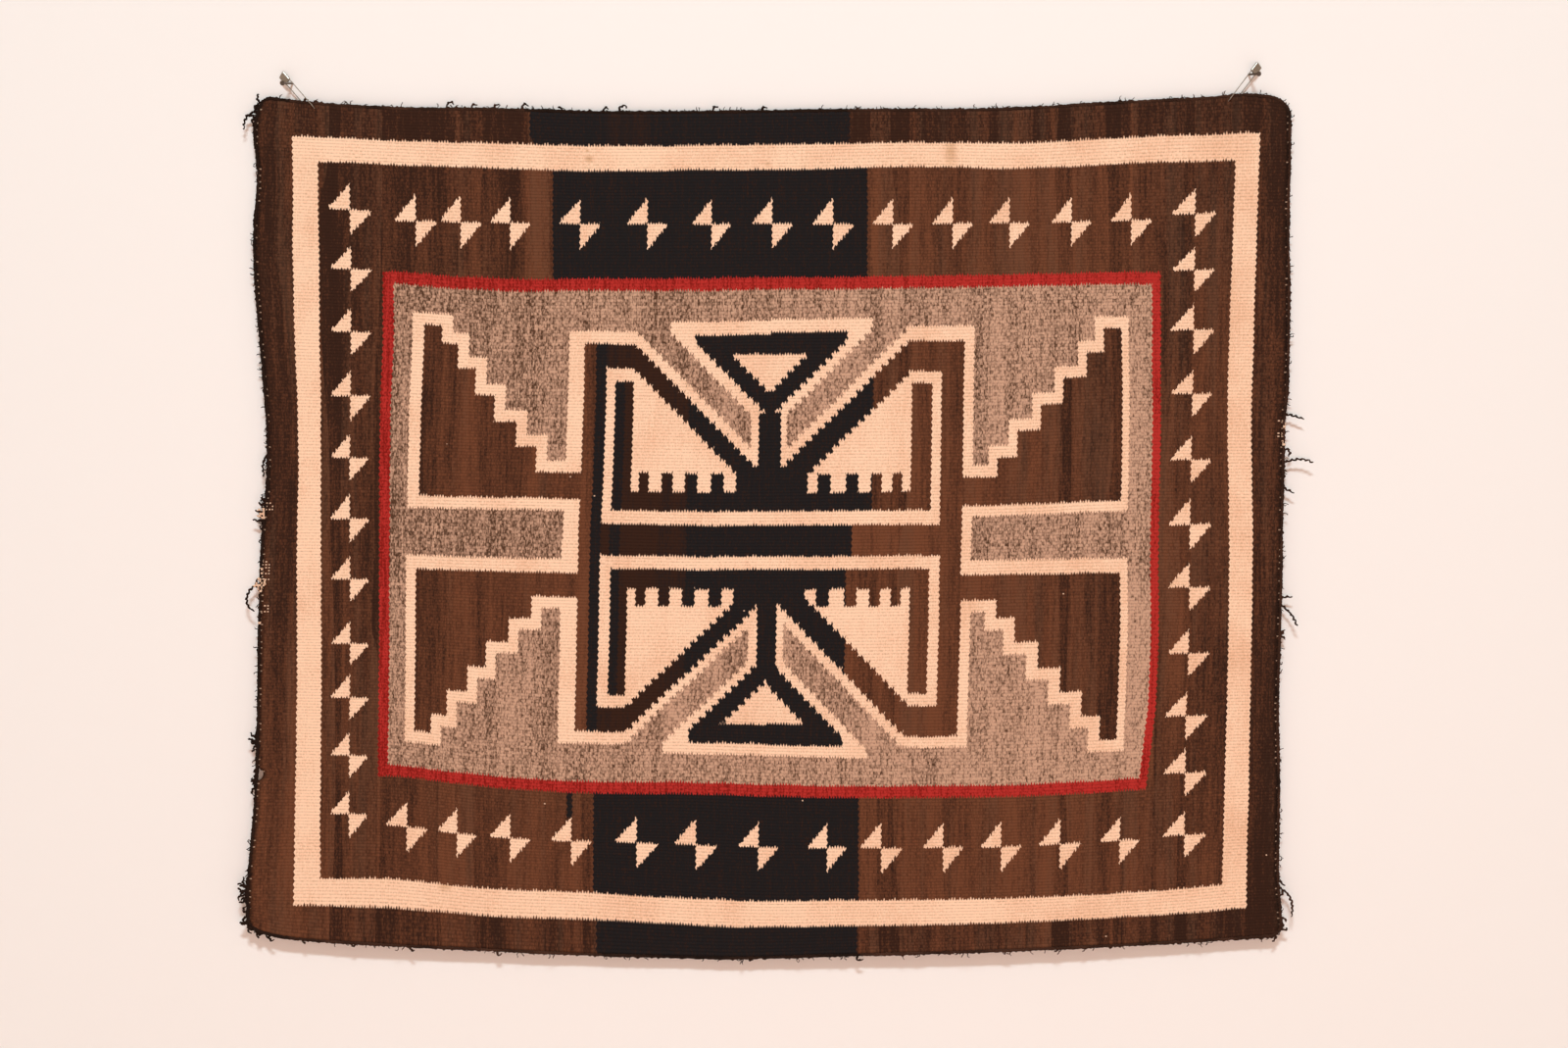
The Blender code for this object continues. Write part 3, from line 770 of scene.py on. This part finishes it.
# Where the edge cords are near black, or worn down to the cream warp
CORD_LEFT_OF = -540.0
WORN_PATCHES = [Box(-577, -560, 448, 460), Box(-581, -560, 515, 544), Box(-581, -560, 569, 578),
                Box(560, 583, 352, 360), Box(560, 583, 372, 378)]
CORD_BLACK_PATCHES = [Box(-277, 85.5, -50, 300), Box(-189.5, 100, 700, 1100)]

# Where the brown wool is lighter (+) or darker (-) than its mean, from 0, darkest, to 1
BROWN_TONE = 0.62
TonePatch = namedtuple("TonePatch", "left right top bottom tone")
TONE_PATCHES = [TonePatch(*row) for row in (
    (-600, 600, 0, 54, -0.38), (-600, -518, 54, 903, -0.48), (528, 600, 54, 903, -0.43),
    (-600, 600, 903, 1000, -0.55), (-518, -440, 54, 903, -0.40), (434, 528, 54, 903, -0.10),
    (-440, -283, 54, 200, -0.07), (-283, -251, 54, 200, 0.16), (105, 355, 54, 200, 0.10),
    (322, 400, 200, 460, -0.30), (322, 400, 520, 760, -0.34), (90, 176, 460, 512, 0.44),
    (-440, -390, 200, 460, -0.18), (-215, -203, 200, 760, 0.10), (-440, 434, 760, 903, -0.17),
    (110, 322, 200, 760, -0.06), (176, 235, 200, 760, 0.20), (-202, -95, 512, 760, -0.1),
)]

# Soft stains on the cream
Stain = namedtuple("Stain", "across down width height strength")
STAINS = [
    Stain(-211, 55, 7, 6, 0.8), Stain(198, 51, 10, 22, 0.7), Stain(-362, 890, 12, 9, 0.6),
    Stain(-93, 308, 14, 10, 0.4), Stain(-6, 62, 5, 4, 0.5), Stain(-213, 46, 2.5, 2.0, 1.0),
]

# In the side borders the brown grows lighter (+) or darker (-) from halfway down
LEFT_SIDE, LEFT_CHANGE = -518.0, 0.2
RIGHT_SIDE, RIGHT_CHANGE = 434.0, -0.34
CHANGE_FROM, CHANGE_LENGTH = 480.0, 280.0
ARMS = (440.0, 535.0)  # the level band of darker grey, from its top down to its foot

# The wool's unevenness: how wide and how long the grains of each noise are, and its detail
GRAIN_SIZES = {
    "band": (22.0, 400.0, 3.0), "streak": (PICK_PITCH, 60.0, 1.0),
    "clump": (3.5, 5.5, 2.0), "fine": (1.5, 3.0, 1.0),
}
BATCH_WIDTH, BATCH_SEED = 17.0, 7.0  # the batches that the weaver's wool came in

# How strongly each kind of unevenness shows in each wool
Grain = namedtuple("Grain", "band streak dash clump batch fine", defaults=[0] * 6)
TONE_GRAIN = Grain(band=1.1, streak=0.8, dash=0.35, batch=0.42, fine=1.1)
DUST_GRAIN = Grain(dash=0.8, batch=1.2)
BLACK_GRAIN = Grain(streak=1.0, dash=0.5, fine=1.8)
CREAM_GRAIN = Grain(streak=0.5, dash=0.25, fine=1.1)
GREY_GRAIN = Grain(band=0.8, streak=0.7, dash=0.75, clump=1.1, fine=1.2)
RED_GRAIN = Grain(streak=2.2, dash=0.6, fine=2.4)

# A point of the web: flat on the loom, on the chart with its uneven edges, and counted in picks and ribs
Spot = namedtuple("Spot", "flat_x flat_z x z right lower pick rib")
SCALLOP = 3.4  # how far upright edges bulge with every second rib
TOOTH, TOOTH_SHIFT = 9.0, -1.4  # how far weft ends stand out of level edges
TOOTH_SEED = 3.0


def lines_by_quarter(right, lower):
    """Every line of the figure's chart, as the number that holds in the quarter of each point."""
    values, names = {}, list(FIGURE)
    for start in range(0, len(names), 3):
        group = names[start:start + 3]
        rows = [FIGURE[name] for name in group] + [FIGURE[group[-1]]] * (3 - len(group))
        three = Quarter(*zip(*rows))
        upper = mixed("VECTOR", right, three.upper_left, three.upper_right)
        under = mixed("VECTOR", right, three.lower_left, three.lower_right)
        values.update(zip(group, parts_of(mixed("VECTOR", lower, upper, under))))
    return values


def inside(x, z, box):
    return x.between(box.left, box.right) & z.between(box.top, box.bottom)


def any_patch(x, z, patches):
    return any_of(inside(x, z, patch) for patch in patches)


def motif_mask(at):
    """The paired triangles: one up and to the left of each middle, one down and to the right."""
    row_x = mixed("FLOAT", at.lower, nearest(at.x, TOP_ROW), nearest(at.x, BOTTOM_ROW))
    row_z = mixed("FLOAT", at.lower, *ROW_DOWN)
    column_x = mixed("FLOAT", at.right, *COLUMN_ACROSS)
    column_z = mixed("FLOAT", at.right, nearest(at.z, LEFT_COLUMN), nearest(at.z, RIGHT_COLUMN))
    beside = abs(at.x) > COLUMN_START
    middle_x = mixed("FLOAT", beside, row_x, column_x)
    middle_z = mixed("FLOAT", beside, row_z, column_z)
    out, down = at.x - middle_x, at.z - middle_z
    plain_size = beside.times_plus(COLUMN_MOTIF - 1, 1 - MOTIF_SPREAD / 2)
    size = chance(middle_x, middle_z).times_plus(MOTIF_SPREAD, plain_size)
    height = (abs(down).steps(MOTIF_HEIGHT / MOTIF_STEPS) + abs(down)) * 0.5
    narrowing = (beside & at.right).times_plus(1 / RIGHT_MOTIF_WIDTH - 1 / MOTIF_WIDTH, 1 / MOTIF_WIDTH)
    slanted = abs(out) * narrowing + height * (1 / MOTIF_HEIGHT)
    return ((out * down) > 0.0) & (slanted < size)


def stairs(line, out, rise):
    """The height of a terrace's stairs over a place, all raised by the same rise."""
    height = line[f"stair_up_{STAIRS}"] + rise
    for k in range(STAIRS, 0, -1):
        above = line[f"stair_up_{k - 1}"] if k > 1 else line["terrace_top_inner"]
        height = (out > line[f"stair_out_{k}"]).times_plus(above - line[f"stair_up_{k}"], height)
    return height


def figure_mask(line, out, up, slant, side, top):
    """Where the figure lies, within the outer or the inner side of its cream outlines."""
    terrace = (out < line[f"terrace_{side}"]) & (up > line[f"terrace_foot_{side}"]) & (up < top)
    centre = (out < line[f"stem_{side}"]) & (up < line[f"frame_{side}"]) & (slant < line[f"centre_{side}"])
    triangle = (up < line[f"bar_{side}"]) & (slant > line[f"triangle_{side}"]) & (out < TRIANGLE_REACH[side])
    post = (out < line[f"post_{side}"]) & (up < POST_TOP)
    return (terrace & (out > line["stem_inner"])) | centre | triangle | post


def light_mask(line, out, up, slant):
    """Where cream lies on that dark: the triangles' middles and the boxes."""
    middle = (slant > line["slant_middle"]) & (up < line["triangle_top"])
    panel = ((slant < line["slant_panel"]) & (out > line["panel_tip"])) | (up < line["box_foot_inner"])
    box = (out < line["box_outer"]) & (up > line["box_foot_outer"]) & (up < line["box_top_outer"])
    return middle | (panel & box)


def comb_mask(line, out, up, right):
    """Where dark lies in the boxes: round their cream panels and in the notches of the combs."""
    middles = [right.times_plus(notch.right - notch.left, notch.left) for notch in NOTCHES]
    notched = any_of(
        (out - middle).math("COMPARE", 0.0, notch.half_width) for notch, middle in zip(NOTCHES, middles)
    )
    shade = (out > line["panel_side"]) | (up < line["panel_foot"]) | (notched & (up < line["comb_top"]))
    return shade & (out < line["box_inner"]) & (up > line["box_foot_inner"]) & (up < line["box_top_inner"])


def weave_spot(tree):
    """The point that is being coloured, from the UV map named weave."""
    source = tree.nodes.new("ShaderNodeUVMap")
    source.uv_map = "weave"
    flat_x, flat_z, _ = parts_of(Value(source.outputs[0]))
    pick, rib = flat_x * (1 / PICK_PITCH), (flat_z - CORD_BAND) * (1 / RIB_PITCH)
    tooth = pick.math("PINGPONG", 0.5) * chance(pick.floor(), TOOTH_SEED).times_plus(0.7, 0.3)
    scallop = (rib * 0.5).math("PINGPONG", 0.5)
    wander = noise(flat_x * 0.02, flat_z * 0.02, 0.0) - 0.5
    x = flat_x + scallop.times_plus(SCALLOP, wander) - SCALLOP / 4
    z = flat_z + tooth.times_plus(TOOTH, TOOTH_SHIFT) + wander * 2.0
    return Spot(flat_x, flat_z, x, z, x > MIDDLE_ACROSS, z > MIDDLE_DOWN, pick, rib)


def wool_grain(at):
    """The kinds of unevenness of the wool, each one about zero."""
    x, z = at.flat_x, at.flat_z
    kinds = {}
    for name, (wide, long, detail) in GRAIN_SIZES.items():
        kinds[name] = noise(x * (1 / wide), z * (1 / long), detail) - 0.5
    dash = chance((at.pick * 2.0).floor(), at.rib.floor()) - 0.5
    batch = (x * (1 / BATCH_WIDTH) + noise(x * 0.03, z * 0.002, 1.0) * 2.5).floor()
    return Grain(dash=dash, batch=chance(batch, BATCH_SEED) - 0.5, **kinds)


def uneven(base, grain, weights):
    """The base with each kind of unevenness added, as strong as its weight says."""
    for kind, weight in zip(grain, weights):
        if weight:
            base = kind.times_plus(weight, base)
    return base


def brown_tone(at, grain):
    """How light the brown wool is, from 0, darkest, to 1."""
    tone = uneven(BROWN_TONE, grain, TONE_GRAIN)
    for patch in TONE_PATCHES:
        tone = inside(at.flat_x, at.flat_z, patch).times_plus(patch.tone, tone)
    side = (at.flat_x < LEFT_SIDE) * LEFT_CHANGE + (at.flat_x > RIGHT_SIDE) * RIGHT_CHANGE
    tone = tone + limited((at.flat_z - CHANGE_FROM) * (1 / CHANGE_LENGTH)) * side
    return limited(tone + (at.flat_z * 0.0005 - 0.2))


def dark_wool(at, grain):
    """Brown wool, with its dusty bands, its brown-black parts and its black ones."""
    tone = brown_tone(at, grain)
    dusty = noise(at.flat_x * (1 / 18.0), at.flat_z * (1 / 300.0), 2.0).times_plus(4.0, -2.2)
    brown = painted(BROWN_DARK, tone, BROWN_LIGHT)
    brown = painted(brown, limited(uneven(dusty, grain, DUST_GRAIN)) * 0.3, BROWN_GREY)
    black_brown = painted(BLACK, limited(tone.times_plus(1.1, 0.2)), BROWN_DARK)
    black = painted(BLACK, limited(uneven(0.0, grain, BLACK_GRAIN)), BROWN_DARK)
    dark = painted(brown, any_patch(at.x, at.z, BLACK_BROWN_PATCHES), black_brown)
    return painted(dark, any_patch(at.x, at.z, BLACK_PATCHES), black)


def cream_wool(at, grain):
    """Cream wool, softly soiled and with a few stains."""
    soiled = noise(at.flat_x * 0.015, at.flat_z * 0.015, 3.0).times_plus(1.6, -0.55)
    shade = limited(uneven(soiled + at.flat_x * 0.0003, grain, CREAM_GRAIN))
    cream = painted(CREAM, shade, CREAM_SHADE)
    for stain in STAINS:
        out, down = at.flat_x - stain.across, at.flat_z - stain.down
        spread = length(vector(out * (1 / stain.width), down * (1 / stain.height)))
        cream = painted(cream, limited(spread * -1.0 + 1.0) * stain.strength, STAIN)
    return cream


def grey_wool(at, grain):
    """Grey of light and dark fibres carded together."""
    heather = at.flat_x * -0.0003 + at.flat_z * -0.0002 + at.flat_z.between(*ARMS) * 0.12 + 0.46
    return painted(GREY_LIGHT, limited(uneven(heather, grain, GREY_GRAIN)), GREY_DARK)


def red_wool(at, grain):
    worn = limited(uneven(at.flat_x * -0.0005 + 0.26, grain, RED_GRAIN))
    return painted(RED, worn, RED_DARK)


def figure_colours(at, dark, cream, grey):
    """The grey field with the figure on it."""
    line = lines_by_quarter(at.right, at.lower)
    out, up = abs(at.x - MIDDLE_ACROSS), abs(at.z - MIDDLE_DOWN)
    slant = up.steps(STEP_PITCH) - out
    top = stairs(line, out + line["stair_shift"], STAIR_RISE).math("MINIMUM", line["terrace_top_outer"])
    field = painted(grey, figure_mask(line, out, up, slant, "outer", top), cream)
    field = painted(field, figure_mask(line, out, up, slant, "inner", stairs(line, out, 0.0)), dark)
    field = painted(field, light_mask(line, out, up, slant), cream)
    return painted(field, comb_mask(line, out, up, at.right), dark)


def charted_cloth(at, grain):
    """The chart in its wools, from the border inwards."""
    dark, cream = dark_wool(at, grain), cream_wool(at, grain)
    cloth = painted(dark, inside(at.x, at.z, CREAM_OUTER), cream)
    cloth = painted(cloth, inside(at.x, at.z, CREAM_INNER), dark)
    cloth = painted(cloth, motif_mask(at), cream)
    leaning = ((at.z - PINCH_FROM).math("MAXIMUM", 0.0) * at.right).times_plus(PINCH, at.x)
    cloth = painted(cloth, inside(leaning, at.z, RED_OUTER), red_wool(at, grain))
    field = figure_colours(at, dark, cream, grey_wool(at, grain))
    return painted(cloth, inside(leaning, at.z, RED_INNER), field)


def worn_cloth(at, cloth):
    """The cloth with its dark twined ends, their warp dots, and flecks of bare warp."""
    from_side = (abs(at.flat_x) * -1.0) + WEB_WIDTH / 2
    cloth = painted(cloth, limited(from_side * -0.25 + 1.1) * 0.8, CORD_DARK)
    pair = (at.rib * 0.5).fract()
    luck = chance((at.rib * 0.5).floor(), at.right)
    dot = (from_side - luck * 2.0).between(-1.2, 0.6) & pair.between(0.38, 0.56) & (luck > 0.4)
    bare = noise(at.flat_x * 0.012, at.flat_z * 0.03, 2.0).times_plus(-0.006, 1.0032)
    bare = bare - any_patch(at.flat_x, at.flat_z, WORN_PATCHES) * (from_side < 9.0) * 0.6
    fleck = chance(at.pick.floor(), at.rib.floor()) > bare
    fleck = fleck & at.pick.fract().between(0.25, 0.75) & at.rib.fract().between(0.3, 0.7)
    return painted(cloth, (dot * 0.5) | (fleck * 0.7), CREAM)


def web_material():
    """Wool tapestry: the worn chart, with painted shade between the ribs and the relief of ribs and picks.
    """
    made, tree, shader = new_material("wool_tapestry", WOOL_ROUGHNESS, 0.03)
    at = weave_spot(tree)
    grain = wool_grain(at)
    round_rib = at.rib.math("PINGPONG", 0.5) * 2.0
    # Painted shade: the colour is darkened in the grooves between the ribs, where shade falls
    groove_shade = (round_rib * -1.0 + 1.0).math("POWER", 2.0)
    shade = tree.nodes.new("ShaderNodeHueSaturation")
    put(shade.inputs["Value"], (groove_shade * (grain.fine * 3.0 + 1.0)).times_plus(-0.26, 1.06))
    put(shade.inputs["Color"], worn_cloth(at, charted_cloth(at, grain)))
    put(shader.inputs["Base Color"], Value(shade.outputs[0]))
    turned = (at.rib.floor() * 0.5 + at.pick * 2.0).math("PINGPONG", 0.5)
    add_bump(shader, round_rib.math("POWER", 0.6) * 0.55 + turned * 0.30, 0.6, 0.0005)
    return made


def place_in_mm(tree):
    """The object's own place, in millimetres, as three numbers."""
    source = tree.nodes.new("ShaderNodeTexCoord")
    return [part * 1000.0 for part in parts_of(Value(source.outputs["Object"]))]


def yarn_material():
    """Dark twisted wool: black at the left end and beside the web's black parts, and brown elsewhere."""
    made, tree, shader = new_material("twisted_wool", WOOL_ROUGHNESS, 0.05)
    x, y, z = place_in_mm(tree)
    down = z * -1.0
    fibre = noise(x * 1.4 + y, z * 1.4, 3.0)
    patchy = noise(x * 0.03, z * 0.03, 1.0)
    dyed = any_patch(x, down, CORD_BLACK_PATCHES) | (x < CORD_LEFT_OF)
    light = (fibre - 0.5).times_plus(1.5, 0.5) + (patchy - 0.5) * 1.2
    yarn = painted(CORD_DARK, limited(light * dyed.times_plus(-0.7, 1.0)), CORD_BROWN)
    lump = chance((x * 0.5).floor(), (down * 0.45).floor())
    worn = any_patch(x, down, WORN_PATCHES) & (lump > 0.55)
    put(shader.inputs["Base Color"], painted(yarn, worn * 0.85, CREAM))
    add_bump(shader, fibre, 0.6, 0.0003)
    return made


def steel_material(name, colour, dull, roughness, grain):
    """Plated or bare steel with faint drawing marks and dull spots."""
    made, tree, shader = new_material(name, roughness)
    put(shader.inputs["Metallic"], 1.0)
    x, y, z = place_in_mm(tree)
    spots = noise(x * grain + y, z * grain, 3.0)
    put(shader.inputs["Base Color"], painted(colour, (spots - 0.45) * 2.5, dull))
    put(shader.inputs["Roughness"], spots.times_plus(0.25, roughness))
    add_bump(shader, spots, 0.15, 0.0002)
    return made


def dress_steel():
    """The pins and nails keep their CAD solids and take better steel."""
    plated = steel_material("plated_steel", PLATED, PLATED_DULL, 0.26, 0.8)
    bare = steel_material("nail_steel", BARE, BARE_DULL, 0.42, 1.1)
    for name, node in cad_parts.items():
        if name.startswith(("safety_pin", "nail")):
            node.data.materials.clear()
            node.data.materials.append(plated if name.startswith("safety_pin") else bare)


# The studio

def stage_material(name, colour):
    made, _, shader = new_material(name, 0.9)
    put(shader.inputs["Base Color"], colour)
    return made


def show_from_front_only(made):
    """Only the camera sees the material, and only from in front. Other light passes through it."""
    tree = made.node_tree
    side = Value(tree.nodes.new("ShaderNodeNewGeometry").outputs["Backfacing"])
    seen = Value(tree.nodes.new("ShaderNodeLightPath").outputs["Is Camera Ray"])
    clear = tree.nodes.new("ShaderNodeBsdfTransparent")
    choice = tree.nodes.new("ShaderNodeMixShader")
    put(choice.inputs[0], seen.times_plus(-1.0, 1.0) | side)
    tree.links.new(tree.nodes["Principled BSDF"].outputs[0], choice.inputs[1])
    tree.links.new(clear.outputs[0], choice.inputs[2])
    tree.links.new(choice.outputs[0], tree.nodes["Material Output"].inputs["Surface"])


def make_stage():
    """A pale floor, and a pale backdrop that lets light through to the rug's back."""
    side, low = STAGE_SIDE, FLOOR_DROP
    near, far = STAGE_FRONT, STAGE_REAR
    ground = [(-side, near, low), (side, near, low), (side, far, low), (-side, far, low)]
    back_y, high = WALL_BACK, WALL_TOP
    wall = [(-side, back_y, low), (side, back_y, low), (side, back_y, high), (-side, back_y, high)]
    floor = new_object("floor", ground, [(0, 1, 2, 3)])
    floor.data.materials.append(stage_material("pale_floor", FLOOR_COLOUR))
    back = new_object("backdrop", wall, [(0, 1, 2, 3)])
    back.data.materials.append(stage_material("pale_wall", WALL_COLOUR))
    show_from_front_only(back.data.materials[0])


def add_light(lamp):
    light = bpy.data.lights.new(lamp.name, "AREA")
    light.shape = "RECTANGLE"
    light.size, light.size_y = lamp.size
    light.energy = lamp.watts
    light.color = lamp.colour
    holder = add_object(lamp.name, light)
    holder.location = lamp.spot
    holder.rotation_euler = (Vector(lamp.target) - Vector(lamp.spot)).to_track_quat("-Z", "Y").to_euler()


def make_studio():
    world = bpy.data.worlds.new("studio")
    bpy.context.scene.world = world
    world.use_nodes = True
    sky = world.node_tree.nodes["Background"]
    put(sky.inputs["Color"], SKY_COLOUR)
    put(sky.inputs["Strength"], SKY_STRENGTH)
    for lamp in LAMPS:
        add_light(lamp)
    bpy.context.scene.view_settings.view_transform = "Standard"
    lens = bpy.data.cameras.new("camera")
    lens.sensor_width = SENSOR_WIDTH
    lens.lens = SENSOR_WIDTH * abs(CAMERA_AT[1]) / VIEW_WIDTH
    camera = add_object("camera", lens)
    camera.location = CAMERA_AT
    camera.rotation_euler = (math.pi / 2, 0, 0)
    bpy.context.scene.camera = camera


def main():
    make_studio()
    make_stage()
    web, length_down = make_web(web_material())
    yarn = yarn_material()
    for edge, kind in (("left", "end"), ("right", "end"), ("top", "side"), ("bottom", "side")):
        node = f"{kind}_cord_{edge}"
        cord = make_cord(edge, "twisted_" + node, yarn)
        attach(cord, "root")
        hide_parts(node)
    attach(web, "root")
    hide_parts("rug_web")
    dress_steel()


main()
